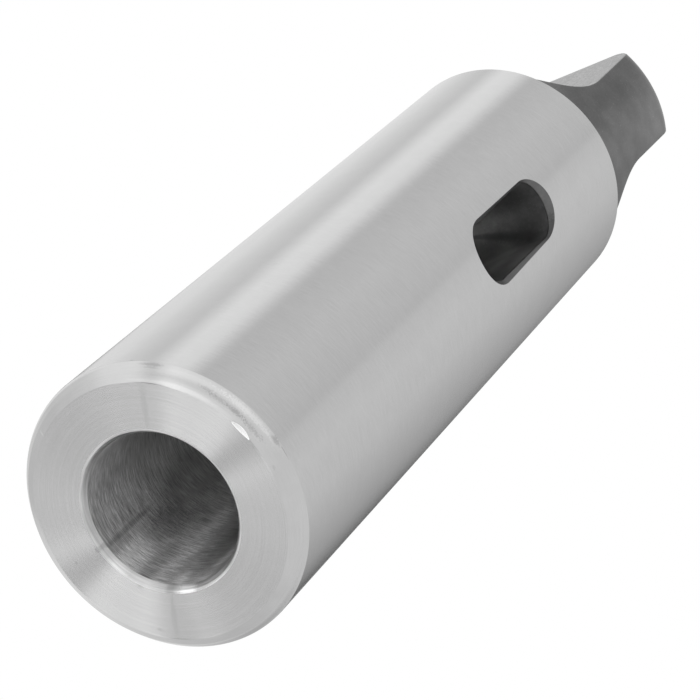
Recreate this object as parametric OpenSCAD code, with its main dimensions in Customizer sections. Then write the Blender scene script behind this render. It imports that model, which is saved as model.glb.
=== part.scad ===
// Reducing sleeve for taper-shank tools, turned from one piece of steel.
// Outside: self-holding taper size 5 with a tang. Inside: socket for size 3.
// The sleeve stands on its socket face at z = 0, with the tang upwards.
// The drift slot goes through along Y, and the flats of the tang face X.

/* [Length] */
// Length over all, from the socket face to the tip of the tang
total_l = 156; // [120:1:200]
// Length from the tip of the tang back to the end of the ground taper
tang_reach = 27.3; // [24:0.1:34]

/* [Shank taper] */
// Gauge diameter of the outer taper
shank_gauge_d = 44.399; // [37:0.001:54]
// Distance of the gauge plane from the socket face
shank_gauge_z = 6.5; // [0:0.1:12]
// Length of taper in which the diameter falls by one
shank_taper_run = 19.002; // [18:0.001:24]
// Small edge break at the thin end of the ground taper
shank_end_cut = 0.3; // [0.1:0.05:0.6]

/* [Rim of the socket face] */
// Height at which the outer taper begins
rim_l = 2.4; // [1.6:0.1:4]
// Radial width of the steep outer bevel of the rim
rim_outer_w = 1; // [0.4:0.05:1.6]
// Radial width of the flat inner bevel of the rim
rim_inner_w = 1.33; // [0.4:0.01:2]
// Height of the flat inner bevel
rim_inner_l = 0.95; // [0.3:0.05:1.5]

/* [Socket] */
// Gauge diameter of the socket, at the inner edge of the mouth bevel
socket_gauge_d = 23.825; // [20:0.001:28.6]
// Length of taper in which the diameter falls by one
socket_taper_run = 19.922; // [18:0.001:24]
// Depth of the mouth bevel
mouth_cut_l = 1.05; // [0.5:0.05:2]
// Half of the included angle of the mouth bevel
mouth_cut_angle = 30; // [20:1:45]
// Length of straight bore between the end of the taper and the drift slot
pilot_l = 4.7; // [1:0.1:10]
// How far the straight bore runs on beside the slot, without the drill point
bore_past_slot = 6; // [0:0.5:12]
// Included angle of the drill point at the bottom
drill_angle = 118; // [90:1:150]

/* [Drift slot] */
// Length of solid shank between the slot and the end of the ground taper
web_l = 25; // [15:0.5:35]
// Length of the slot between its round ends
slot_l = 25.7; // [22:0.1:31]
// Width of the slot
slot_w = 9.3; // [7.5:0.1:11.5]
// Depth of the bevel along the straight sides of the slot
slot_bevel = 0.6; // [0.2:0.05:1]

/* [Tang] */
// Step from the thin end of the ground taper down to the turned tang
tang_step = 1; // [0.4:0.1:3]
// Thickness across the flats
tang_t = 14.3; // [11.5:0.1:17.5]
// Length of the flats, from the tip to where they start to curve out
tang_flat_l = 15.1; // [12:0.1:18]
// Radius that the cutter leaves at the root of the flats
tang_root_r = 12.3; // [9:0.1:14]
// Radius of the turned corner at the tip
tang_tip_r = 4.6; // [2:0.1:6]

/* [Nick in the rim] */
// Depth of the nick below the corner that it flattens
nick_depth = 0.11; // [0.05:0.01:0.3]
// Radius of the hollow along the rim
nick_curve_r = 28; // [10:1:60]
// Angle between the floor of the nick and the socket face
nick_tilt = 22; // [10:1:35]
// Turn of the nick around the axis, from the X axis towards Y
nick_turn = -110; // [-180:1:180]

/* [Hidden] */
$fn = 180;

// Overlap between cuts that follow each other
eps = 0.01;
// Distance by which a cut or a stub runs past the surface where it starts
run_past = 1;
// How far inside the slot the cut for its bevel starts, so that the two share no edge
bevel_in = 0.3;
// Turn of the bevel's round ends about their own axes, so that they share no seam with the slot's
bevel_turn = 60;
// Length of a cut that goes right through the shank
through_l = 2 * shank_gauge_d;

// Radius of the outer taper at height z
function shank_r(z) = shank_gauge_d / 2 - (z - shank_gauge_z) / (2 * shank_taper_run);
// Radius of the socket taper at height z
function socket_r(z) = socket_gauge_d / 2 - (z - mouth_cut_l) / (2 * socket_taper_run);

shank_end_z = total_l - tang_reach;
rim_outer_r = shank_r(rim_l);
rim_mid_r = rim_outer_r - rim_outer_w;
face_r = rim_mid_r - rim_inner_w;

mouth_r = socket_gauge_d / 2 + mouth_cut_l * tan(mouth_cut_angle);
slot_far_z = shank_end_z - web_l;
slot_near_z = slot_far_z - slot_l;
slot_end_r = slot_w / 2;
pilot_z = slot_near_z - pilot_l;
pilot_r = socket_r(pilot_z);
bore_end_z = slot_near_z + bore_past_slot;
drill_point_l = pilot_r / tan(drill_angle / 2);

// The bevel starts at one distance from the axis, so it is wider at the ends of the slot
slot_mouth_r = shank_r(slot_near_z + slot_l / 2);
slot_mouth_half_w = slot_end_r + slot_bevel;
bevel_y = sqrt(slot_mouth_r * slot_mouth_r - slot_mouth_half_w * slot_mouth_half_w) - slot_bevel;
bevel_out = slot_mouth_r + run_past - bevel_y;

tang_r = shank_r(shank_end_z) - tang_step;
flat_start_z = total_l - tang_flat_l;

// Turned blank up to the end of the ground taper, with its two bevels at the rim
module shank_blank() {
    rotate_extrude()
        polygon([
            [0, 0],
            [face_r, 0],
            [rim_mid_r, rim_inner_l],
            [rim_outer_r, rim_l],
            [shank_r(shank_end_z - shank_end_cut), shank_end_z - shank_end_cut],
            [shank_r(shank_end_z) - shank_end_cut, shank_end_z],
            [0, shank_end_z]
        ]);
}

// Turned stub for the tang, with a round corner at its tip
module tang_blank() {
    translate([0, 0, shank_end_z - run_past])
        cylinder(r = tang_r, h = total_l - tang_tip_r - shank_end_z + run_past);
    translate([0, 0, total_l - tang_tip_r - eps])
        cylinder(r = tang_r - tang_tip_r, h = tang_tip_r + eps);
    translate([0, 0, total_l - tang_tip_r])
        rotate_extrude()
            translate([tang_r - tang_tip_r, 0])
                intersection() {
                    circle(r = tang_tip_r);
                    translate([0, -eps])
                        square(tang_tip_r + eps);
                }
}

// What the cutter takes off one side of the tang, here the side towards +X
module tang_side_cut() {
    translate([tang_t / 2, -through_l / 2, flat_start_z])
        cube([tang_r, through_l, tang_flat_l + run_past]);
    translate([tang_t / 2 + tang_root_r, -through_l / 2, flat_start_z])
        rotate([-90, 0, 0])
            cylinder(r = tang_root_r, h = through_l);
}

// Socket: mouth bevel, long taper, straight bore and drill point
module socket_cut() {
    mouth_start_r = mouth_r + run_past * tan(mouth_cut_angle);
    translate([0, 0, -run_past])
        cylinder(r1 = mouth_start_r, r2 = socket_r(mouth_cut_l), h = mouth_cut_l + run_past);
    translate([0, 0, mouth_cut_l - eps])
        cylinder(r1 = socket_r(mouth_cut_l - eps), r2 = pilot_r, h = pilot_z - mouth_cut_l + eps);
    translate([0, 0, pilot_z - eps])
        cylinder(r = pilot_r, h = bore_end_z - pilot_z + eps);
    translate([0, 0, bore_end_z - eps])
        cylinder(r1 = pilot_r, r2 = 0, h = drill_point_l);
}

// Round-ended slot through the sleeve, for the drift that knocks the tool out
module slot_cut() {
    for (z = [slot_near_z + slot_end_r, slot_far_z - slot_end_r])
        translate([0, -through_l / 2, z])
            rotate([-90, 0, 0])
                cylinder(r = slot_end_r, h = through_l);
    translate([-slot_end_r, -through_l / 2, slot_near_z + slot_end_r])
        cube([slot_w, through_l, slot_l - slot_w]);
}

// Bevel around the slot where it comes out, here on the side towards +Y
module slot_bevel_cut() {
    for (z = [slot_near_z + slot_end_r, slot_far_z - slot_end_r])
        translate([0, bevel_y - bevel_in, z])
            rotate([-90, bevel_turn, 0])
                cylinder(r1 = slot_end_r - bevel_in, r2 = slot_end_r + bevel_out, h = bevel_in + bevel_out);
    translate([0, 0, slot_near_z + slot_end_r])
        linear_extrude(height = slot_l - slot_w)
            polygon([
                [-slot_end_r + bevel_in, bevel_y - bevel_in],
                [slot_end_r - bevel_in, bevel_y - bevel_in],
                [slot_end_r + bevel_out, bevel_y + bevel_out],
                [-slot_end_r - bevel_out, bevel_y + bevel_out]
            ]);
}

// Small dent where the rim has been knocked, at the outer edge of the socket face
module nick_cut() {
    nick_cut_l = 4 * rim_inner_w;
    rotate([0, 0, nick_turn])
        translate([face_r, 0, 0])
            rotate([0, 90 - nick_tilt, 0])
                translate([nick_curve_r - nick_depth, 0, -nick_cut_l / 2])
                    cylinder(r = nick_curve_r, h = nick_cut_l);
}

module sleeve() {
    color([0.72, 0.72, 0.73])
        difference() {
            union() {
                shank_blank();
                tang_blank();
            }
            socket_cut();
            slot_cut();
            slot_bevel_cut();
            mirror([0, 1, 0])
                slot_bevel_cut();
            tang_side_cut();
            mirror([1, 0, 0])
                tang_side_cut();
            nick_cut();
        }
}

sleeve();
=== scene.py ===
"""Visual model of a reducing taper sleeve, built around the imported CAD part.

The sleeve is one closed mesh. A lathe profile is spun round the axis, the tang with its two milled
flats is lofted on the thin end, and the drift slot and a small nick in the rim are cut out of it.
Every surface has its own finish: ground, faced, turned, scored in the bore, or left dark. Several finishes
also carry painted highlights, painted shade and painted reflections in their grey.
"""

import logging  # noqa: E402
import math  # noqa: E402
from collections.abc import Sequence  # noqa: E402
from dataclasses import dataclass, field  # noqa: E402
from enum import Enum  # noqa: E402

import bmesh  # noqa: E402
import bpy  # noqa: E402
from mathutils import Matrix, Vector  # noqa: E402

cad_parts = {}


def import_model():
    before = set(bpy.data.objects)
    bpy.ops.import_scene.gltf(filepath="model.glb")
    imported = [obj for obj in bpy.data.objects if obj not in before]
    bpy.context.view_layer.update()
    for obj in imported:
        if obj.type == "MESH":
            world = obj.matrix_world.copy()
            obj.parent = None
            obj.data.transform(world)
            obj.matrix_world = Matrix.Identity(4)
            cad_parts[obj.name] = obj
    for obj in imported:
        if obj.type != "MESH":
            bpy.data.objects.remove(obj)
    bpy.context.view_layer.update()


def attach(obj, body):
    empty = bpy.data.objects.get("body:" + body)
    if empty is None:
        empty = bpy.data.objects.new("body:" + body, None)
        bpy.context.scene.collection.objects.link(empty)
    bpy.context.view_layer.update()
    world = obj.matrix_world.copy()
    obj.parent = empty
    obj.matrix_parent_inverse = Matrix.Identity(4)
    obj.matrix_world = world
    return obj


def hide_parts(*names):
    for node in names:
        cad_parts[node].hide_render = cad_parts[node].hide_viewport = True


LOG = logging.getLogger("taper_sleeve")
MM = 0.001
# Distances in metres below which two vertices are one, before and after the cuts
MERGE = 0.0005 * MM
MERGE_AFTER_CUT = 0.001 * MM
# Edges in each round of a turned outline
ROUND_STEPS = 4

Point = tuple[float, float]
Triple = tuple[float, float, float]
Output = bpy.types.NodeSocket
Number = float | Output
Row = list[bmesh.types.BMVert]


class Zone(Enum):
    """Surfaces of the sleeve, each with its own finish. The value is the material index."""

    BORE = 0
    MOUTH = 1
    FACE = 2
    RIM = 3
    TAPER = 4
    SHOULDER = 5
    TANG = 6
    FLAT = 7
    SLOT_WALL = 8
    SLOT_BEVEL = 9
    NICK = 10


# Meshes


def rounded(points: Sequence[Point], radii: Sequence[float]) -> list[Point]:
    """Rounds the inner corners of an open outline.

    Args:
        points: The outline's corners, as (r, z) in millimetres.
        radii: The radius at each corner, 0 for a sharp one. The first and last are not used.

    Returns:
        The outline with an arc in place of each corner that has a radius.
    """
    outline: list[Point] = [points[0]]
    for before, corner, after, radius in zip(points, points[1:], points[2:], radii[1:]):
        if radius == 0:
            outline.append(corner)
            continue
        here = Vector(corner)
        way_in = (Vector(before) - here).normalized()
        way_out = (Vector(after) - here).normalized()
        half_angle = way_in.angle(way_out) / 2
        reach = radius / math.tan(half_angle)
        centre = here + (way_in + way_out).normalized() * (radius / math.sin(half_angle))
        start = here + way_in * reach - centre
        end = here + way_out * reach - centre
        sweep = start.angle_signed(end)
        for step in range(ROUND_STEPS + 1):
            turn = Matrix.Rotation(-sweep * step / ROUND_STEPS, 2)
            outline.append(tuple(centre + turn @ start))
    outline.append(points[-1])
    return outline


def revolve(mesh: bmesh.types.BMesh, outline: Sequence[Point], zone: Zone, segments: int) -> None:
    """Spins an (r, z) outline in millimetres once round the Z axis and marks its faces.

    Args:
        mesh: The mesh that the faces are added to.
        outline: Points of the outline, in order.
        zone: The surface that the new faces belong to.
        segments: Steps of the full turn.
    """
    verts = [mesh.verts.new((r * MM, 0.0, z * MM)) for r, z in outline]
    edges = [mesh.edges.new(pair) for pair in zip(verts, verts[1:])]
    known = set(mesh.faces)
    bmesh.ops.spin(
        mesh,
        geom=verts + edges,
        cent=(0.0, 0.0, 0.0),
        axis=(0.0, 0.0, 1.0),
        angle=math.tau,
        steps=segments,
        use_merge=True,
    )
    for face in mesh.faces:
        if face not in known:
            face.material_index = zone.value


def loft(mesh: bmesh.types.BMesh, rings: Sequence[Sequence[Vector]], zones: Sequence[Zone]) -> list[Row]:
    """Pulls a closed ring of vertices from place to place, which leaves a wall behind it.

    Args:
        mesh: The mesh that the wall is added to.
        rings: Places of the vertices in each ring, in metres; every ring has the same count.
        zones: The surface between each ring and the next.

    Returns:
        The vertices of each ring, in order.
    """
    count = len(rings[0])
    row: Row = bmesh.ops.create_circle(mesh, cap_ends=False, radius=1.0, segments=count)["verts"]
    row.sort(key=lambda vert: math.atan2(vert.co.y, vert.co.x) % math.tau)
    rows = [row]
    for vert, place in zip(row, rings[0]):
        vert.co = place
    for ring, zone in zip(rings[1:], zones):
        known = set(mesh.faces)
        grown = bmesh.ops.extrude_edge_only(mesh, edges=ring_edges(rows[-1]))["geom"]
        fresh = {item for item in grown if isinstance(item, bmesh.types.BMVert)}
        above = [next(e.other_vert(v) for e in v.link_edges if e.other_vert(v) in fresh) for v in rows[-1]]
        for vert, place in zip(above, ring):
            vert.co = place
        for face in mesh.faces:
            if face not in known:
                face.material_index = zone.value
        rows.append(above)
    return rows


def ring_edges(row: Row) -> list[bmesh.types.BMEdge]:
    """The edges between neighbours in a closed ring of vertices."""
    return [next(e for e in a.link_edges if e.other_vert(a) is b) for a, b in zip(row, row[1:] + row[:1])]


def close_up(mesh: bmesh.types.BMesh) -> None:
    """Merges doubles, drops what has no area and points every face outwards.

    Args:
        mesh: The mesh to finish.
    """
    bmesh.ops.remove_doubles(mesh, verts=mesh.verts, dist=MERGE)
    bmesh.ops.dissolve_degenerate(mesh, edges=mesh.edges, dist=MERGE)
    bmesh.ops.recalc_face_normals(mesh, faces=mesh.faces)


def to_object(
    mesh: bmesh.types.BMesh, name: str, materials: Sequence[bpy.types.Material]
) -> bpy.types.Object:
    """Turns a bmesh into an object in the scene.

    Args:
        mesh: The finished bmesh, which is freed.
        name: Name of the object and its mesh.
        materials: The materials, in the order of their indices.

    Returns:
        The new object, at the origin.
    """
    data = bpy.data.meshes.new(name)
    for material in materials:
        data.materials.append(material)
    mesh.to_mesh(data)
    mesh.free()
    made = bpy.data.objects.new(name, data)
    bpy.context.scene.collection.objects.link(made)
    return made


@dataclass(frozen=True)
class Shank:
    """The outer taper and the two bevels at its wide end, in millimetres.

    The taper's diameter falls by one in each taper_run. It ends at tang_reach from the tip, where
    the turned tang is a step smaller. The rounds are at the face, between the bevels and above them.
    """

    total_l: float = 156.0
    tang_reach: float = 27.3
    tang_step: float = 1.0
    gauge_r: float = 22.1995
    gauge_z: float = 6.5
    taper_run: float = 19.002
    rim_l: float = 2.4
    rim_outer_w: float = 1.0
    rim_inner_w: float = 1.33
    rim_inner_l: float = 0.95
    end_cut: float = 0.3
    rounds: Triple = (0.3, 0.8, 0.6)
    segments: int = 384

    @property
    def end_z(self) -> float:
        """Height at which the ground taper ends and the tang begins."""
        return self.total_l - self.tang_reach

    @property
    def tang_r(self) -> float:
        """Radius of the turned tang, a step below the thin end of the taper."""
        return self.radius(self.end_z) - self.tang_step

    @property
    def rim_mid_r(self) -> float:
        """Radius at which the two bevels of the rim meet."""
        return self.radius(self.rim_l) - self.rim_outer_w

    @property
    def face_r(self) -> float:
        """Outer radius of the socket face."""
        return self.rim_mid_r - self.rim_inner_w

    def radius(self, z: float) -> float:
        """Radius of the ground taper at height z."""
        return self.gauge_r - (z - self.gauge_z) / (2 * self.taper_run)

    def outline(self, start_r: float) -> dict[Zone, list[Point]]:
        """Outline of each outer surface, from the socket face to the shoulder of the tang.

        Args:
            start_r: Radius at which the socket face begins.

        Returns:
            The points of each surface; each outline begins where the one before ends.
        """
        end_r = self.radius(self.end_z)
        corners = [
            (start_r, 0.0),
            (self.face_r, 0.0),
            (self.rim_mid_r, self.rim_inner_l),
            (self.radius(self.rim_l), self.rim_l),
            (self.radius(self.end_z - self.end_cut), self.end_z - self.end_cut),
        ]
        line = rounded(corners, (0, *self.rounds, 0))
        # The rim is all three rounds, from the first point of the first to the last of the third
        rim_start = 1
        rim_end = len(self.rounds) * (ROUND_STEPS + 1)
        return {
            Zone.FACE: line[: rim_start + 1],
            Zone.RIM: line[rim_start : rim_end + 1],
            Zone.TAPER: line[rim_end:] + [(end_r - self.end_cut, self.end_z)],
        }


@dataclass(frozen=True)
class Socket:
    """Mouth bevel, taper, straight bore and drill point, in millimetres and degrees.

    The mouth's angle is half of the included one, and the drill's is the whole. A strip of the
    face, face_lead wide, is spun with the mouth.
    """

    gauge_r: float = 11.9125
    taper_run: float = 19.922
    mouth_cut_l: float = 1.05
    mouth_cut_angle: float = 30.0
    pilot_z: float = 73.3
    bore_end_z: float = 84.0
    drill_angle: float = 118.0
    mouth_round: float = 0.4
    face_lead: float = 0.3

    @property
    def mouth_r(self) -> float:
        """Radius at which the mouth bevel meets the socket face."""
        return self.gauge_r + self.mouth_cut_l * math.tan(math.radians(self.mouth_cut_angle))

    @property
    def pilot_r(self) -> float:
        """Radius of the straight bore."""
        return self.gauge_r - (self.pilot_z - self.mouth_cut_l) / (2 * self.taper_run)

    def outline(self) -> dict[Zone, list[Point]]:
        """Outline of the bore and of the mouth bevel, from the drill point to the socket face.

        Returns:
            The points of each surface. The mouth's outline ends a little way out on the face.
        """
        point_l = self.pilot_r / math.tan(math.radians(self.drill_angle / 2))
        bore = [
            (0.0, self.bore_end_z + point_l),
            (self.pilot_r, self.bore_end_z),
            (self.pilot_r, self.pilot_z),
            (self.gauge_r, self.mouth_cut_l),
        ]
        mouth = [bore[-1], (self.mouth_r, 0.0), (self.mouth_r + self.face_lead, 0.0)]
        return {Zone.BORE: bore, Zone.MOUTH: rounded(mouth, (0, self.mouth_round, 0))}


@dataclass(frozen=True)
class DriftSlot:
    """The round-ended slot through the sleeve and the bevel at its two mouths, in millimetres.

    The bevel starts at bevel_y from the middle plane, with a round that begins and ends a corner
    from there. The tool that cuts the slot ends at past, outside the sleeve.
    """

    width: float = 9.3
    near_z: float = 78.0
    far_z: float = 103.7
    bevel_y: float = 18.68
    bevel_angle: float = 45.0
    corner: float = 0.2
    past: float = 25.0
    end_steps: int = 40
    corner_steps: int = 4

    def cutter(self, materials: Sequence[bpy.types.Material]) -> bpy.types.Object:
        """Makes the closed tool that cuts the slot: a stadium that flares at both ends.

        Args:
            materials: The sleeve's materials, in order.

        Returns:
            The tool, which is removed after the cut.
        """
        mesh = bmesh.new()
        levels = self._levels()
        middle = len(levels) // 2 - 1
        zones = [Zone.SLOT_WALL if i == middle else Zone.SLOT_BEVEL for i in range(len(levels) - 1)]
        rows = loft(mesh, [self._ring(y, grow) for y, grow in levels], zones)
        for row in (rows[0], rows[-1]):
            bmesh.ops.contextual_create(mesh, geom=ring_edges(row))
        close_up(mesh)
        return to_object(mesh, "slot_tool", materials)

    def _ring(self, y: float, grow: float) -> list[Vector]:
        """Outline of the slot at one depth.

        Args:
            y: Place along Y.
            grow: How much larger the outline is all round than the slot.

        Returns:
            The points in metres.
        """
        half_w = self.width / 2
        radius = half_w + grow
        places = []
        for centre_z, start in ((self.far_z - half_w, 0.0), (self.near_z + half_w, math.pi)):
            for step in range(self.end_steps + 1):
                turn = start + math.pi * step / self.end_steps
                x, z = radius * math.cos(turn), centre_z + radius * math.sin(turn)
                places.append(Vector((x * MM, y * MM, z * MM)))
        return places

    def _levels(self) -> list[Point]:
        """Rings of the tool, whose wall turns outwards where the bevel starts.

        Returns:
            The place along Y and the growth of the outline at each ring, from -Y to +Y.
        """
        wall = [(self.bevel_y - self.corner, 0.0)]
        tilt = math.radians(self.bevel_angle)
        radius = self.corner / math.tan(tilt / 2)
        for step in range(1, self.corner_steps + 1):
            turn = tilt * step / self.corner_steps
            depth = self.bevel_y - self.corner + radius * math.sin(turn)
            wall.append((depth, radius * (1 - math.cos(turn))))
        depth, grow = wall[-1]
        wall.append((self.past, grow + (self.past - depth) * math.tan(tilt)))
        return [(-depth, grow) for depth, grow in reversed(wall)] + wall


@dataclass(frozen=True)
class Nick:
    """A shallow dent where the rim was knocked, cut by a drum that lies along the rim.

    Its tilt from the face and its turn from X towards Y are in degrees, the rest in millimetres.
    """

    depth: float = 0.11
    curve_r: float = 28.0
    tilt: float = 22.0
    turn: float = -110.0
    length: float = 5.3
    segments: int = 1024

    def cutter(self, face_r: float, materials: Sequence[bpy.types.Material]) -> bpy.types.Object:
        """Makes the drum that cuts the dent.

        Args:
            face_r: Outer radius of the socket face.
            materials: The sleeve's materials, in order.

        Returns:
            The tool, which is removed after the cut.
        """
        mesh = bmesh.new()
        bmesh.ops.create_cone(
            mesh,
            cap_ends=True,
            segments=self.segments,
            radius1=self.curve_r * MM,
            radius2=self.curve_r * MM,
            depth=self.length * MM,
        )
        place = (
            Matrix.Rotation(math.radians(self.turn), 4, "Z")
            @ Matrix.Translation((face_r * MM, 0.0, 0.0))
            @ Matrix.Rotation(math.radians(90 - self.tilt), 4, "Y")
            @ Matrix.Translation(((self.curve_r - self.depth) * MM, 0.0, 0.0))
        )
        bmesh.ops.transform(mesh, matrix=place, verts=mesh.verts)
        for face in mesh.faces:
            face.material_index = Zone.NICK.value
        close_up(mesh)
        return to_object(mesh, "nick_tool", materials)


@dataclass(frozen=True)
class Tang:
    """Turned tang with two milled flats and a hollow root below each, in millimetres.

    The steps count edges along a quarter of a ring, and the levels count rings up the tang.
    """

    half_t: float = 7.15
    flat_l: float = 15.1
    root_r: float = 12.3
    tip_r: float = 4.6
    edge: float = 0.3
    arc_steps: int = 56
    flat_steps: int = 20
    edge_steps: int = 4
    root_levels: int = 30
    flat_levels: int = 5
    tip_levels: int = 14

    def levels(self, shank: Shank) -> list[Triple]:
        """Sizes of the rings that the tang is lofted through.

        Args:
            shank: The shank that the tang stands on.

        Returns:
            The height, turned radius and half thickness at each ring, from the base to the tip.
        """
        rings: list[Triple] = []
        flat_z = shank.total_l - self.flat_l
        start = math.asin((flat_z - shank.end_z) / self.root_r)
        for step in range(self.root_levels + 1):
            turn = start * (1 - step / self.root_levels)
            z = flat_z - self.root_r * math.sin(turn)
            rings.append((z, shank.tang_r, self.half_t + self.root_r * (1 - math.cos(turn))))
        corner_z = shank.total_l - self.tip_r
        for step in range(1, self.flat_levels):
            z = flat_z + (corner_z - flat_z) * step / self.flat_levels
            rings.append((z, shank.tang_r, self.half_t))
        for step in range(self.tip_levels + 1):
            turn = math.pi / 2 * step / self.tip_levels
            z = corner_z + self.tip_r * math.sin(turn)
            radius = shank.tang_r - self.tip_r * (1 - math.cos(turn))
            sunk = max(0.0, z - (shank.total_l - self.edge))
            rest = math.sqrt(max(0.0, self.edge**2 - sunk**2))
            rings.append((z, radius, self.half_t - self.edge + rest))
        return rings

    def section(self, z: float, radius: float, half_t: float) -> list[Vector]:
        """Points of one ring: an arc, a rounded edge, a flat and an edge, four times over.

        Args:
            z: Height of the ring.
            radius: Turned radius there.
            half_t: Distance of each flat from the middle plane there.

        Returns:
            The ring's points in metres, anticlockwise from the middle of the flat at +X.
        """
        crease = math.acos(min(1.0, half_t / radius))
        flat_y = radius * math.sin(crease)
        reach = min(self.edge, flat_y / 2)
        flat_end = flat_y - reach
        arc_start = crease + reach / radius
        quarter: list[Point] = []
        for step in range(self.flat_steps):
            quarter.append((half_t, flat_end * step / self.flat_steps))
        first = Vector((half_t, flat_end))
        corner = Vector((half_t, flat_y))
        last = Vector((math.cos(arc_start), math.sin(arc_start))) * radius
        for step in range(self.edge_steps):
            t = step / self.edge_steps
            quarter.append(tuple(first * (1 - t) ** 2 + corner * (2 * t * (1 - t)) + last * t**2))
        for step in range(self.arc_steps):
            turn = arc_start + (math.pi / 2 - arc_start) * step / self.arc_steps
            quarter.append((radius * math.cos(turn), radius * math.sin(turn)))
        half = quarter + [(0.0, radius)] + [(-x, y) for x, y in reversed(quarter[1:])]
        ring = half + [(-x, -y) for x, y in half]
        return [Vector((x * MM, y * MM, z * MM)) for x, y in ring]

    def build(self, mesh: bmesh.types.BMesh, shank: Shank) -> list[bmesh.types.BMEdge]:
        """Lofts the tang ring by ring and closes its tip.

        Args:
            mesh: The mesh that the tang is added to.
            shank: The shank that the tang stands on.

        Returns:
            The edges of the lowest ring, which the shoulder joins.
        """
        rings = [self.section(*level) for level in self.levels(shank)]
        rows = loft(mesh, rings, [Zone.TANG] * (len(rings) - 1))
        for row in rows[1:]:
            self._mark_flats(row)
        for face in bmesh.ops.contextual_create(mesh, geom=ring_edges(rows[-1]))["faces"]:
            face.material_index = Zone.TANG.value
        return ring_edges(rows[0])

    def _mark_flats(self, row: Row) -> None:
        """Gives the flats' finish to the faces at a ring that lie on a flat.

        Args:
            row: The vertices of the ring, from the middle of the flat at +X.
        """
        edges = ring_edges(row)
        half = len(row) // 2
        reach = self.flat_steps + self.edge_steps // 2
        for middle in (0, half):
            for step in range(middle - reach, middle + reach):
                for face in edges[step % len(edges)].link_faces:
                    face.material_index = Zone.FLAT.value


@dataclass
class Sleeve:
    """The whole sleeve: its parts' sizes and the one mesh made from them.

    An edge is sharp where its faces meet at more than sharp_angle, in degrees.
    """

    shank: Shank = field(default_factory=Shank)
    socket: Socket = field(default_factory=Socket)
    slot: DriftSlot = field(default_factory=DriftSlot)
    tang: Tang = field(default_factory=Tang)
    nick: Nick = field(default_factory=Nick)
    sharp_angle: float = 28.0

    def build(self) -> bpy.types.Object:
        """Builds the sleeve and puts its finishes on.

        Returns:
            The finished piece, in place in the row frame.
        """
        materials = make_finishes()
        piece = to_object(self._solid(), "sleeve_body", materials)
        tools = [self.slot.cutter(materials), self.nick.cutter(self.shank.face_r, materials)]
        self._cut(piece, tools)
        piece.data.shade_smooth()
        piece.data.set_sharp_from_angle(angle=math.radians(self.sharp_angle))
        weighted = piece.modifiers.new("even_shading", "WEIGHTED_NORMAL")
        weighted.keep_sharp = True
        return piece

    def _solid(self) -> bmesh.types.BMesh:
        """Spins the turned surfaces, lofts the tang and joins them at the shoulder.

        Returns:
            The closed mesh, before the slot and the nick are cut.
        """
        mesh = bmesh.new()
        inside = self.socket.outline()
        outside = self.shank.outline(inside[Zone.MOUTH][-1][0])
        for zone, outline in {**inside, **outside}.items():
            revolve(mesh, outline, zone, self.shank.segments)
        bmesh.ops.remove_doubles(mesh, verts=mesh.verts, dist=MERGE)
        rim = [edge for edge in mesh.edges if edge.is_boundary]
        base = self.tang.build(mesh, self.shank)
        joined = bmesh.ops.triangle_fill(mesh, edges=rim + base, use_beauty=True, normal=(0.0, 0.0, 1.0))
        for face in joined["geom"]:
            if isinstance(face, bmesh.types.BMFace):
                face.material_index = Zone.SHOULDER.value
        close_up(mesh)
        return mesh

    @staticmethod
    def _cut(piece: bpy.types.Object, tools: Sequence[bpy.types.Object]) -> None:
        """Cuts each tool out of the piece and removes the tools.

        Args:
            piece: The object that is cut, whose mesh is replaced.
            tools: Closed meshes with the same list of materials.
        """
        for tool in tools:
            cut = piece.modifiers.new(tool.name, "BOOLEAN")
            cut.operation = "DIFFERENCE"
            cut.solver = "EXACT"
            cut.material_mode = "INDEX"
            cut.object = tool
        seen = piece.evaluated_get(bpy.context.evaluated_depsgraph_get())
        result = bpy.data.meshes.new_from_object(seen)
        piece.modifiers.clear()
        old = piece.data
        piece.data = result
        bpy.data.meshes.remove(old)
        result.name = piece.name
        for tool in tools:
            bpy.data.meshes.remove(tool.data)
        mesh = bmesh.new()
        mesh.from_mesh(result)
        bmesh.ops.remove_doubles(mesh, verts=mesh.verts, dist=MERGE_AFTER_CUT)
        bmesh.ops.dissolve_degenerate(mesh, edges=mesh.edges, dist=MERGE_AFTER_CUT)
        open_edges = sum(not edge.is_manifold for edge in mesh.edges)
        LOG.info("%s: %d faces, %d open edges", piece.name, len(mesh.faces), open_edges)
        mesh.to_mesh(result)
        mesh.free()


# Finishes


# Features in one metre of the finest noise, which marks and specks share
SPECKLE_SCALE = 4200.0


def grey(level: float) -> tuple[float, float, float, float]:
    """An opaque grey."""
    return (level, level, level, 1.0)


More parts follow.
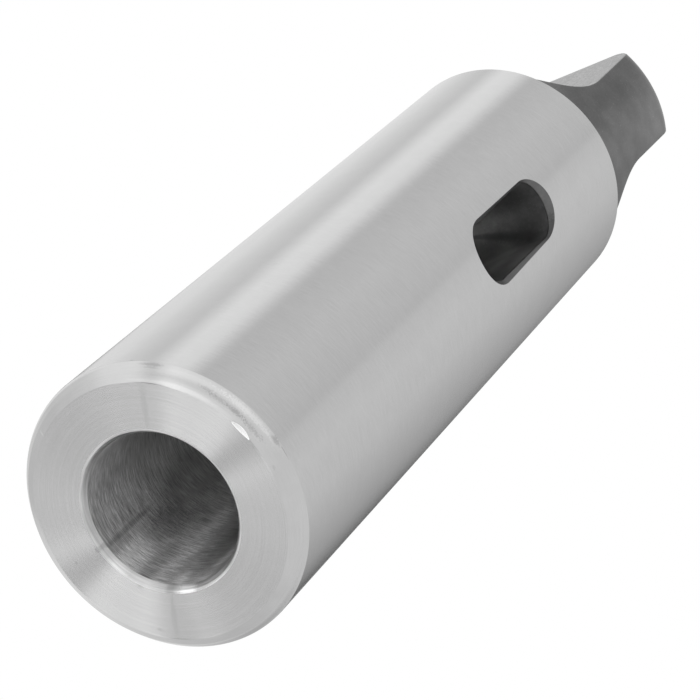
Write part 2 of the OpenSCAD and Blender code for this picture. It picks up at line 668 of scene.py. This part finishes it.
class Graph:
    """Short calls that add nodes to one node tree and link them."""

    def __init__(self, tree: bpy.types.NodeTree) -> None:
        """Starts with no shared nodes.

        Args:
            tree: The tree that the nodes go into.
        """
        self.tree = tree
        self._place: Output | None = None
        self._slant: Output | None = None
        self._speckle: Output | None = None

    def node(self, kind: str, inputs: dict[int | str, Number | Triple], **settings: str) -> bpy.types.Node:
        """Adds a node.

        Args:
            kind: Type of the node.
            inputs: Value of, or link into, each input by name or number.
            settings: Properties of the node itself.

        Returns:
            The new node.
        """
        made = self.tree.nodes.new(kind)
        for key, value in settings.items():
            setattr(made, key, value)
        for key, value in inputs.items():
            self.feed(made.inputs[key], value)
        return made

    def feed(self, socket: bpy.types.NodeSocket, value: Number | Triple) -> None:
        """Links an input to an output, or sets its value.

        Args:
            socket: The input.
            value: The output or the value.
        """
        if isinstance(value, Output):
            self.tree.links.new(value, socket)
        else:
            socket.default_value = value

    def math(self, operation: str, *values: Number) -> Output:
        """Result of a Math node."""
        return self.node("ShaderNodeMath", dict(enumerate(values)), operation=operation).outputs[0]

    def vector(self, operation: str, *values: Output | Triple) -> bpy.types.Node:
        """Adds a Vector Math node."""
        return self.node("ShaderNodeVectorMath", dict(enumerate(values)), operation=operation)

    def split(self, vector: Output) -> bpy.types.NodeOutputs:
        """The three parts of a vector."""
        return self.node("ShaderNodeSeparateXYZ", {0: vector}).outputs

    def join(self, x: Number, y: Number, z: Number) -> Output:
        """A vector from its three parts."""
        return self.node("ShaderNodeCombineXYZ", {0: x, 1: y, 2: z}).outputs[0]

    def blend(self, first: Number, second: Number, share: Number) -> Output:
        """The first value where the share is 0, the second where it is 1, and a mix between."""
        return self.math("MULTIPLY_ADD", self.math("SUBTRACT", second, first), share, first)

    def noise(self, vector: Output, scale: float, detail: float = 2.0) -> Output:
        """Noise from about 0 to 1 with features of one unit over the scale."""
        inputs = {"Vector": vector, "Scale": scale, "Detail": detail}
        return self.node("ShaderNodeTexNoise", inputs).outputs[0]

    def remap(self, value: Number, start: Point, end: Point) -> Output:
        """Smooth step of a value.

        Args:
            value: What is remapped.
            start: The value at the low end and the result there.
            end: The value at the high end and the result there.

        Returns:
            The result, held outside both ends.
        """
        (low, at_low), (high, at_high) = start, end
        inputs = {"Value": value, "From Min": low, "From Max": high, "To Min": at_low, "To Max": at_high}
        return self.node("ShaderNodeMapRange", inputs, interpolation_type="SMOOTHSTEP").outputs[0]

    def vary(self, noise: Number, low: float, high: float, reach: float = 0.25) -> Output:
        """A value that follows a noise, from low at 0.5 less the reach to high at 0.5 plus it."""
        return self.remap(noise, (0.5 - reach, low), (0.5 + reach, high))

    def place(self) -> Output:
        """Place on the piece, made once for each tree.

        Returns:
            The place in metres, in the row frame.
        """
        if self._place is None:
            self._place = self.node("ShaderNodeTexCoord", {}).outputs["Object"]
        return self._place

    def outward(self) -> Output:
        """Place with its height taken as 0, which points away from the Z axis."""
        return self.vector("MULTIPLY", self.place(), (1.0, 1.0, 0.0)).outputs[0]

    def round_axis(self, along: float, across: float) -> Output:
        """Coordinates for streaks that run round the Z axis, with no seam.

        Args:
            along: Units in one radian along a streak.
            across: Units in one metre across the streaks.

        Returns:
            A vector for a noise texture.
        """
        turn = self.vector("NORMALIZE", self.outward()).outputs[0]
        turn = self.vector("MULTIPLY", turn, (along, along, 0.0)).outputs[0]
        rise = self.join(0.0, 0.0, self.math("MULTIPLY", self.slant(), across))
        return self.vector("ADD", turn, rise).outputs[0]

    def slant(self) -> Output:
        """Distance from the Z axis plus the height, made once for each tree.

        Returns:
            The sum in metres, which changes along every surface of the sleeve.
        """
        if self._slant is None:
            radius = self.vector("LENGTH", self.outward()).outputs["Value"]
            self._slant = self.math("ADD", self.split(self.place())[2], radius)
        return self._slant

    def speckle(self) -> Output:
        """Fine noise for specks and for the ragged edges of marks, made once for each tree.

        Returns:
            The noise, from about 0 to 1.
        """
        if self._speckle is None:
            self._speckle = self.noise(self.place(), SPECKLE_SCALE)
        return self._speckle

    def grain(self) -> Output:
        """Direction round the Z axis, which streaks from turning and grinding follow."""
        x, y, _ = self.split(self.place())
        return self.join(self.math("MULTIPLY", y, -1.0), x, 0.0)


@dataclass(frozen=True)
class Mark:
    """A small stain, scratch, worn spot or band, or a patch of painted highlight, painted shade or painted
    reflection, with soft ragged edges.

    Attributes:
        turn: Turn round the Z axis in degrees.
        slant: Distance from the axis plus the height, in millimetres.
        along: Half length round the axis, in degrees.
        across: Half width, as a part of the slant in millimetres.
        change: Factor of the grey at the middle of the mark.
        ragged: How far the edge wanders, as a share of the mark's half length.
        core: Share of the half length at which the mark begins to fade.
        end: Share of the half length at which it has faded.
    """

    turn: float
    slant: float
    along: float
    across: float
    change: float
    ragged: float = 0.6
    core: float = 0.3
    end: float = 1.2

    def apply(self, graph: Graph, tint: Output) -> Output:
        """Puts the mark on a grey.

        Args:
            graph: The material's nodes.
            tint: The grey without the mark.

        Returns:
            The grey, multiplied by the mark's change at its middle.
        """
        spin = {"Vector": graph.place(), "Angle": -math.radians(self.turn)}
        turned = graph.node("ShaderNodeVectorRotate", spin, rotation_type="Z_AXIS")
        x, y, _ = graph.split(turned.outputs[0])
        turn = graph.math("DIVIDE", graph.math("ARCTAN2", y, x), math.radians(self.along))
        rise = graph.math("ADD", graph.slant(), -self.slant * MM)
        rise = graph.math("DIVIDE", rise, self.across * MM)
        far = graph.vector("LENGTH", graph.join(turn, rise, 0.0)).outputs["Value"]
        edge = graph.math("MULTIPLY_ADD", graph.speckle(), 2 * self.ragged, -self.ragged)
        far = graph.math("ADD", far, edge)
        return graph.math("MULTIPLY", tint, graph.remap(far, (self.core, self.change), (self.end, 1.0)))


@dataclass(frozen=True)
class BareSteel:
    """Bright steel with streaks that run round the axis, as grinding, turning or reaming leaves them.

    Attributes:
        tint: The grey.
        rough: The roughness.
        spread: How far reflections are drawn out across the streaks, from 0 to 1.
        streak_w: Width of the streaks in millimetres.
        streak_l: Length of the streaks in radians.
        streak_depth: Depth of the streaks in millimetres.
        tint_swing: Share of the grey by which it changes from streak to streak.
        rough_swing: Change of the roughness from streak to streak.
        patch: Share of the grey by which it changes from patch to patch.
        marks: Stains, worn spots and bands, and patches of painted highlight, painted shade and painted
            reflection.
        patch_scale: Patches in one metre.
        detail: Octaves of both noises.
    """

    tint: float
    rough: float
    spread: float
    streak_w: float
    streak_l: float
    streak_depth: float
    tint_swing: float
    rough_swing: float
    patch: float = 0.02
    marks: tuple[Mark, ...] = ()
    patch_scale: float = 260.0
    detail: float = 3.0

    def dress(self, graph: Graph, shader: bpy.types.Node) -> None:
        """Sets up the shader.

        Args:
            graph: The material's nodes.
            shader: Its Principled shader.
        """
        way = graph.round_axis(1 / self.streak_l, 1 / (self.streak_w * MM))
        streaks = graph.noise(way, 1.0, self.detail)
        patches = graph.noise(graph.place(), self.patch_scale, self.detail)
        tint = graph.vary(streaks, self.tint * (1 - self.tint_swing), self.tint * (1 + self.tint_swing))
        tint = graph.math("MULTIPLY", tint, graph.vary(patches, 1 - self.patch, 1 + self.patch))
        for mark in self.marks:
            tint = mark.apply(graph, tint)
        rough = graph.vary(streaks, self.rough - self.rough_swing, self.rough + self.rough_swing)
        bump = graph.node("ShaderNodeBump", {"Distance": self.streak_depth * MM, "Height": streaks})
        # Reflections are drawn out a quarter turn from the tangent, which is across the streaks
        quarter = 0.25
        shader.inputs["Metallic"].default_value = 1.0
        shader.inputs["Anisotropic"].default_value = self.spread
        shader.inputs["Anisotropic Rotation"].default_value = quarter
        graph.feed(shader.inputs["Base Color"], tint)
        graph.feed(shader.inputs["Roughness"], rough)
        graph.feed(shader.inputs["Normal"], bump.outputs[0])
        graph.feed(shader.inputs["Tangent"], graph.grain())


@dataclass(frozen=True)
class DarkSkin:
    """Steel with a thin dark oxide, left where nothing was ground.

    Attributes:
        tint: The grey.
        rough: The roughness.
        swing: Share of the grey by which it changes from place to place.
        grain_w: Width of the grains in millimetres.
        depth: Depth of the grain in millimetres.
        specks: Factor of the grey in the pale specks.
        marks: Darker and lighter patches, among them a painted highlight and painted light.
        cloud_scale: Clouds in one metre.
        cloud_detail: Octaves of the clouds.
        grain_detail: Octaves of the grains.
        grain_share: Share of the grains in the change of the grey; the clouds have the rest.
        rough_swing: Change of the roughness on the low and on the high grains.
        speck_edge: Levels of the speckle at which a speck begins and has its full grey.
        reach: Distance from the middle of a noise at which it has its full effect.
    """

    tint: float
    rough: float
    swing: float = 0.2
    grain_w: float = 0.5
    depth: float = 0.004
    specks: float = 1.5
    marks: tuple[Mark, ...] = ()
    cloud_scale: float = 220.0
    cloud_detail: float = 4.0
    grain_detail: float = 3.0
    grain_share: float = 0.4
    rough_swing: Point = (-0.05, 0.06)
    speck_edge: Point = (0.66, 0.74)
    reach: float = 0.2

    def dress(self, graph: Graph, shader: bpy.types.Node) -> None:
        """Sets up the shader.

        Args:
            graph: The material's nodes.
            shader: Its Principled shader.
        """
        clouds = graph.noise(graph.place(), self.cloud_scale, self.cloud_detail)
        grains = graph.noise(graph.place(), 1 / (self.grain_w * MM), self.grain_detail)
        both = graph.blend(clouds, grains, self.grain_share)
        tint = graph.vary(both, self.tint * (1 - self.swing), self.tint * (1 + self.swing), self.reach)
        start, full = self.speck_edge
        tint = graph.math("MULTIPLY", tint, graph.remap(graph.speckle(), (start, 1.0), (full, self.specks)))
        for mark in self.marks:
            tint = mark.apply(graph, tint)
        less, more = self.rough_swing
        rough = graph.vary(grains, self.rough + less, self.rough + more, self.reach)
        bump = graph.node("ShaderNodeBump", {"Distance": self.depth * MM, "Height": grains})
        shader.inputs["Metallic"].default_value = 1.0
        graph.feed(shader.inputs["Base Color"], tint)
        graph.feed(shader.inputs["Roughness"], rough)
        graph.feed(shader.inputs["Normal"], bump.outputs[0])


# Each mark's turn, slant, half length, half width, change of the grey and raggedness
RIM_MARKS_AND_PAINTED_LIGHT = (
    # Painted shade and painted highlight along the two bevels: darker at the crease between them, lighter on
    # each bevel
    Mark(-130, 22, 30, 0.75, 0.88, 0.3),
    Mark(-139, 20.5, 24, 0.6, 1.2, 0.2),
    Mark(-124, 23.5, 30, 0.7, 1.07, 0.3),
    # Dull spots, rubbed stains and scratches on the rim
    Mark(-154.5, 24, 5.5, 0.5, 0.76),
    Mark(-154.5, 23.3, 4, 0.3, 0.88),
    Mark(-163.3, 24.9, 0.8, 0.25, 0.82),
    Mark(-129.5, 22.5, 3.6, 0.5, 0.84, 1.8),
    Mark(-124, 22.1, 4.4, 0.5, 0.88, 1.8),
    Mark(-116, 22, 4.6, 0.6, 0.78, 1.6),
    Mark(-107, 21.8, 5.8, 0.6, 0.85, 1.6),
    Mark(-98.3, 24.1, 2.8, 0.6, 0.72, 1),
    Mark(-112, 23.7, 15, 0.8, 1.14, 1.4),
    Mark(-93, 24.4, 3.5, 0.14, 0.78),
    Mark(-89.8, 20.9, 1.5, 0.35, 0.92),
    Mark(145, 20.9, 0.4, 1, 1.14, 0.3),
    # Painted shade on the far side of the outer bevel, and a painted highlight along the outer edge at 152
    # degrees
    Mark(2, 23.7, 42, 1.3, 0.72, 0.2),
    Mark(152, 24.4, 32, 0.6, 1.4, 0.2),
)

BORE_PAINTED_REFLECTIONS = (
    # Painted reflections: darker and lighter patches round the bore stand in for the bands of its
    # reflections
    Mark(79, 19, 2.8, 9, 0.7, 0.3),
    Mark(72, 37, 28, 15, 0.6, 0.3),
    Mark(62, 16, 12, 6, 1.5, 0.5),
    Mark(61, 27, 15, 7, 0.66, 0.3),
    Mark(47, 31, 11, 8, 0.84, 0.3),
    Mark(122, 22, 18, 12, 0.88, 0.3),
    Mark(46, 17, 7, 8, 0.76, 0.3),
    Mark(34, 28, 8, 12, 1.35, 0.5),
    Mark(10, 24, 13, 11, 0.58, 0.3),
    Mark(22, 14.8, 7, 2.5, 1.3, 0.6),
    Mark(-16, 16, 17, 5, 0.5, 0.2),
    Mark(155, 19, 26, 18, 0.76, 0.3),
)

TANG_PATCHES_AND_PAINTED_HIGHLIGHT = (
    # Painted highlight: the lighter patch at the tip stands in for a soft highlight; the two darker patches
    # darken the tang beside it
    Mark(-112, 157, 18, 22, 0.76, 0.2),
    Mark(-80, 167, 15, 8, 1.25, 0.3),
    Mark(-67, 150, 9, 7, 0.86, 0.2),
)

SLOT_WALL_PATCHES_AND_PAINTED_LIGHT = (
    # Painted light: the wide lighter band on the slot wall stands in for light that reaches into the slot;
    # the narrow mark darkens a strip across it
    Mark(-80, 110, 90, 6.5, 1.6, 0.3),
    Mark(-74.5, 108, 4.5, 16, 0.6, 0.2),
)

SLOT_BEVEL_MARKS = (Mark(-76, 121.5, 9, 4, 0.55, 0.3),)

FACE_MARKS_AND_PAINTED_SHADE = (
    # Painted shade: two narrow darker wedges, half a turn apart, stand in for a dark fan in the face's
    # reflection
    Mark(23, 16.2, 2.2, 4.4, 0.93, 0.3),
    Mark(-157, 16.2, 2.2, 4.4, 0.93, 0.3),
    # Stains by the nick and the mouth, and small scratches
    Mark(-101, 20, 1.4, 0.5, 0.9),
    Mark(31, 18.9, 1.6, 0.3, 0.9),
    Mark(81, 17.3, 0.9, 0.3, 0.86),
    Mark(81, 12.8, 2.4, 0.6, 0.78, 1),
    Mark(45, 12.9, 3, 0.5, 0.87, 1),
)

MOUTH_PAINTED_REFLECTIONS_AND_STAIN = (
    # Mostly painted reflections: lighter and darker bands round the mouth bevel, with a painted highlight at
    # 11 degrees; the mark at 81 degrees is the stain that also lies on the face
    Mark(64, 12.7, 9, 0.8, 1.25, 0.3),
    Mark(44, 12.7, 11, 0.8, 1.08, 0.3),
    Mark(24, 12.7, 4, 0.8, 0.76, 0.3),
    Mark(11, 12.7, 8, 0.8, 1.7, 0.3),
    Mark(-16, 12.7, 14, 0.8, 1.3, 0.3),
    Mark(81, 12.8, 2.4, 0.6, 0.78, 1),
    Mark(165, 12.7, 38, 0.8, 1.1, 0.2),
    Mark(100, 12.7, 14, 0.8, 0.88, 0.3),
)

FINISHES: dict[Zone, BareSteel | DarkSkin] = {
    Zone.BORE: BareSteel(
        tint=0.52, rough=0.4, spread=1.0, streak_w=0.1, streak_l=0.15, streak_depth=0.001,
        tint_swing=0.38, rough_swing=0.06, patch=0.08, marks=BORE_PAINTED_REFLECTIONS,
    ),
    Zone.MOUTH: BareSteel(
        tint=0.5, rough=0.34, spread=0.3, streak_w=0.12, streak_l=0.6, streak_depth=0.0006,
        tint_swing=0.2, rough_swing=0.05, patch=0.03, marks=MOUTH_PAINTED_REFLECTIONS_AND_STAIN,
    ),
    Zone.FACE: BareSteel(
        tint=0.47, rough=0.24, spread=1.0, streak_w=0.13, streak_l=1.5, streak_depth=0.0003,
        tint_swing=0.035, rough_swing=0.01, patch=0.01, marks=FACE_MARKS_AND_PAINTED_SHADE,
    ),
    Zone.RIM: BareSteel(
        tint=0.47, rough=0.2, spread=0.5, streak_w=0.1, streak_l=0.2, streak_depth=0.0004,
        tint_swing=0.025, rough_swing=0.03, patch=0.02, marks=RIM_MARKS_AND_PAINTED_LIGHT,
    ),
    Zone.TAPER: BareSteel(
        tint=0.47, rough=0.22, spread=0.9, streak_w=0.14, streak_l=0.1, streak_depth=0.0004,
        tint_swing=0.04, rough_swing=0.03, patch=0.01, marks=RIM_MARKS_AND_PAINTED_LIGHT,
    ),
    Zone.SHOULDER: BareSteel(
        tint=0.3, rough=0.3, spread=0.5, streak_w=0.2, streak_l=1.0, streak_depth=0.001,
        tint_swing=0.1, rough_swing=0.04,
    ),
    Zone.TANG: DarkSkin(tint=0.135, rough=0.4, marks=TANG_PATCHES_AND_PAINTED_HIGHLIGHT),
    Zone.FLAT: DarkSkin(tint=0.2, rough=0.32, swing=0.14),
    Zone.SLOT_WALL: DarkSkin(tint=0.21, rough=0.55, marks=SLOT_WALL_PATCHES_AND_PAINTED_LIGHT),
    Zone.SLOT_BEVEL: DarkSkin(tint=0.115, rough=0.38, marks=SLOT_BEVEL_MARKS),
    Zone.NICK: BareSteel(
        tint=0.8, rough=0.15, spread=0.0, streak_w=0.3, streak_l=0.5, streak_depth=0.0006,
        tint_swing=0.03, rough_swing=0.03,
    ),
}


def make_finishes() -> list[bpy.types.Material]:
    """Makes one material for each zone.

    Returns:
        The materials, in the order of the zones.
    """
    made = []
    for zone in Zone:
        material = bpy.data.materials.new(f"steel_{zone.name.lower()}")
        material.use_nodes = True
        FINISHES[zone].dress(Graph(material.node_tree), material.node_tree.nodes["Principled BSDF"])
        made.append(material)
    return made


# Studio and camera


@dataclass(frozen=True)
class PanelRing:
    """Pale panels of the studio that stand in a ring round the vertical axis.

    Attributes:
        period: Degrees after which the pattern starts again.
        levels: Angle in degrees and brightness of each panel, in order.
        zero: Level direction from which the angle is measured.
    """

    period: float
    levels: tuple[Point, ...]
    zero: Triple = (-0.3216, -0.9469, 0.0)

    @property
    def quarter(self) -> Triple:
        """The level direction at 90 degrees."""
        return (-self.zero[1], self.zero[0], 0.0)

    def seam_level(self) -> float:
        """Brightness at 0 degrees, on the way from the last panel to the first.

        Returns:
            The brightness, where 1 is white.
        """
        (first, first_level), (last, last_level) = self.levels[0], self.levels[-1]
        share = first / (first + self.period - last)
        return first_level * (1 - share) + last_level * share

    def level(self, graph: Graph, way: Output) -> Output:
        """Brightness in a direction.

        Args:
            graph: The world's nodes.
            way: The direction.

        Returns:
            The brightness, where 1 is white.
        """
        ahead = graph.vector("DOT_PRODUCT", way, self.zero).outputs["Value"]
        aside = graph.vector("DOT_PRODUCT", way, self.quarter).outputs["Value"]
        turn = graph.math("ARCTAN2", aside, ahead)
        share = graph.math("FRACT", graph.math("DIVIDE", turn, math.radians(self.period)))
        ramp = graph.node("ShaderNodeValToRGB", {0: share})
        stops = ramp.color_ramp.elements
        # The levels go above 1, so the ramp holds half of each
        scale = 2.0
        for stop in stops:
            stop.color = grey(self.seam_level() / scale)
        for angle, level in self.levels:
            stops.new(angle / self.period).color = grey(level / scale)
        return graph.math("MULTIPLY", ramp.outputs[0], scale)


@dataclass(frozen=True)
class Studio:
    """Pale floor, one lamp, and white walls with a soft box, a dark side and panels below.

    The brightness of the walls is what the metal mirrors. It depends on the direction midway
    between the mirrored ray and the way to the photograph's camera. Other surfaces get an even
    light, and the camera sees plain white.

    Attributes:
        ambient: Brightness of the even light.
        floor_z: Height of the floor in metres, a little below the sleeve.
        floor_half: Half of its side in metres.
        floor_grey: Its grey.
        floor_rough: Its roughness.
        key_place: Place of the lamp in metres.
        key_size: Side of the lamp in metres.
        key_power: Power of the lamp in watts.
        camera_way: Direction from the sleeve to the photograph's camera.
        panels_end: Heights of the midway direction between which the panels give way to the sides.
        sides_end: Heights between which the sides give way to the walls.
        walls: The upper ring, which the taper mirrors.
        panels: The lowest ring, which the socket face mirrors.
        sides: The ring between them, which the bevels mirror.
    """

    ambient: float = 0.55
    floor_z: float = -0.0004
    floor_half: float = 3.0
    floor_grey: float = 0.86
    floor_rough: float = 0.9
    key_place: Triple = (-0.9, -0.7, 1.3)
    key_size: float = 1.1
    key_power: float = 14.0
    camera_way: Triple = (-0.18032519, -0.53089938, -0.82802698)
    panels_end: Point = (-0.93, -0.85)
    sides_end: Point = (-0.45, -0.25)
    walls: PanelRing = PanelRing(
        period=180.0,
        levels=(
            (5, 0.95), (11, 0.9), (14, 1.0), (25, 1.05), (40, 0.95), (66, 0.53), (80, 0.2), (90, 0.0),
            (93, 0.95), (102, 1.15), (114, 1.2), (131, 1.0), (139, 1.4), (146, 1.35), (153, 0.9), (170, 1.0),
        ),
    )
    panels: PanelRing = PanelRing(
        period=180.0,
        levels=(
            (1, 0.2), (7, 0.5), (12, 1.1), (18, 1.8), (24, 1.0), (50, 1.1), (66, 0.9), (110, 0.9),
            (124, 1.8), (129, 0.2), (136, 0.0), (140, 1.9), (145, 2.1), (152, 1.3), (165, 1.5), (176, 1.9),
        ),
    )
    sides: PanelRing = PanelRing(
        period=360.0,
        levels=(
            (14, 1.1), (60, 1.1), (104, 0.9), (130, 0.95), (180, 1.2), (204, 1.1), (220, 0.9), (264, 1.0),
            (284, 1.15), (292, 1.4), (308, 1.45), (314, 1.1), (322, 1.6), (334, 1.35), (354, 1.25),
        ),
    )

    def build(self) -> None:
        """Makes the walls, the floor and the lamp."""
        self._walls()
        self._floor()
        self._lamp()

    def _walls(self) -> None:
        """Makes the world: white to the camera, panels to the metal, even light for the rest."""
        world = bpy.data.worlds.new("studio")
        bpy.context.scene.world = world
        world.use_nodes = True
        world.cycles.sampling_method = "NONE"
        graph = Graph(world.node_tree)
        way = graph.node("ShaderNodeTexCoord", {}).outputs["Generated"]
        middle = graph.vector("ADD", way, self.camera_way).outputs[0]
        height = graph.split(graph.vector("NORMALIZE", middle).outputs[0])[2]
        seen = self.panels.level(graph, middle)
        for ring, (start, end) in ((self.sides, self.panels_end), (self.walls, self.sides_end)):
            share = graph.remap(height, (start, 0.0), (end, 1.0))
            seen = graph.blend(seen, ring.level(graph, middle), share)
        path = graph.node("ShaderNodeLightPath", {}).outputs
        mirror = graph.math("MAXIMUM", path["Is Glossy Ray"], path["Is Transmission Ray"])
        plain = graph.blend(self.ambient, 1.0, path["Is Camera Ray"])
        shader = world.node_tree.nodes["Background"]
        shader.inputs["Color"].default_value = grey(1.0)
        graph.feed(shader.inputs["Strength"], graph.blend(plain, seen, mirror))

    def _floor(self) -> None:
        """Makes the floor, which is clear from below, because the photo is taken from there."""
        mesh = bmesh.new()
        bmesh.ops.create_grid(mesh, x_segments=1, y_segments=1, size=self.floor_half)
        bmesh.ops.translate(mesh, verts=mesh.verts, vec=(0.0, 0.0, self.floor_z))
        material = bpy.data.materials.new("pale_floor")
        material.use_nodes = True
        graph = Graph(material.node_tree)
        nodes = material.node_tree.nodes
        shader = nodes["Principled BSDF"]
        shader.inputs["Base Color"].default_value = grey(self.floor_grey)
        shader.inputs["Roughness"].default_value = self.floor_rough
        clear = graph.node("ShaderNodeBsdfTransparent", {}).outputs[0]
        camera = graph.node("ShaderNodeLightPath", {}).outputs["Is Camera Ray"]
        below = graph.node("ShaderNodeNewGeometry", {}).outputs["Backfacing"]
        shown = graph.math("MULTIPLY", camera, graph.math("SUBTRACT", 1.0, below))
        both = graph.node("ShaderNodeMixShader", {0: shown, 1: clear, 2: shader.outputs[0]})
        graph.feed(nodes["Material Output"].inputs["Surface"], both.outputs[0])
        floor = to_object(mesh, "floor", [material])

    def _lamp(self) -> None:
        """Adds a square lamp that points at the sleeve and that the metal doesn't mirror."""
        data = bpy.data.lights.new("key", "AREA")
        data.shape = "SQUARE"
        data.size = self.key_size
        data.energy = self.key_power
        lamp = bpy.data.objects.new("key", data)
        lamp.location = self.key_place
        lamp.rotation_euler = (-Vector(self.key_place)).to_track_quat("-Z", "Y").to_euler()
        lamp.visible_glossy = False
        bpy.context.scene.collection.objects.link(lamp)


@dataclass(frozen=True)
class Camera:
    """The photograph's viewpoint: a long lens below the level of the floor, looking up the axis.

    The lens and the sensor's width are in millimetres, the other lengths in metres.
    """

    place: Triple = (-0.166648, -0.497230, -0.711271)
    right: Triple = (0.46284445, -0.78860144, 0.40482438)
    up: Triple = (-0.86790428, -0.31024766, 0.38792854)
    lens: float = 319.8
    sensor: float = 36.0
    near: float = 0.01
    far: float = 100.0

    def build(self) -> None:
        """Adds the camera and makes it the scene's."""
        data = bpy.data.cameras.new("camera")
        data.lens = self.lens
        data.sensor_width = self.sensor
        data.clip_start = self.near
        data.clip_end = self.far
        made = bpy.data.objects.new("camera", data)
        right = Vector(self.right).normalized()
        back = right.cross(Vector(self.up)).normalized()
        turn = Matrix((right, back.cross(right), back)).transposed()
        made.matrix_world = Matrix.Translation(self.place) @ turn.to_4x4()
        bpy.context.scene.collection.objects.link(made)
        bpy.context.scene.camera = made


def main() -> None:
    """Loads the frame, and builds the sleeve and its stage."""
    logging.basicConfig(level=logging.INFO, format="%(message)s")
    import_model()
    bpy.context.scene.view_settings.view_transform = "Standard"
    Camera().build()
    LOG.info("camera placed")
    piece = Sleeve().build()
    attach(piece, "root")
    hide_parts("sleeve")
    LOG.info("sleeve built")
    Studio().build()
    LOG.info("studio built")


if __name__ == "__main__":
    main()
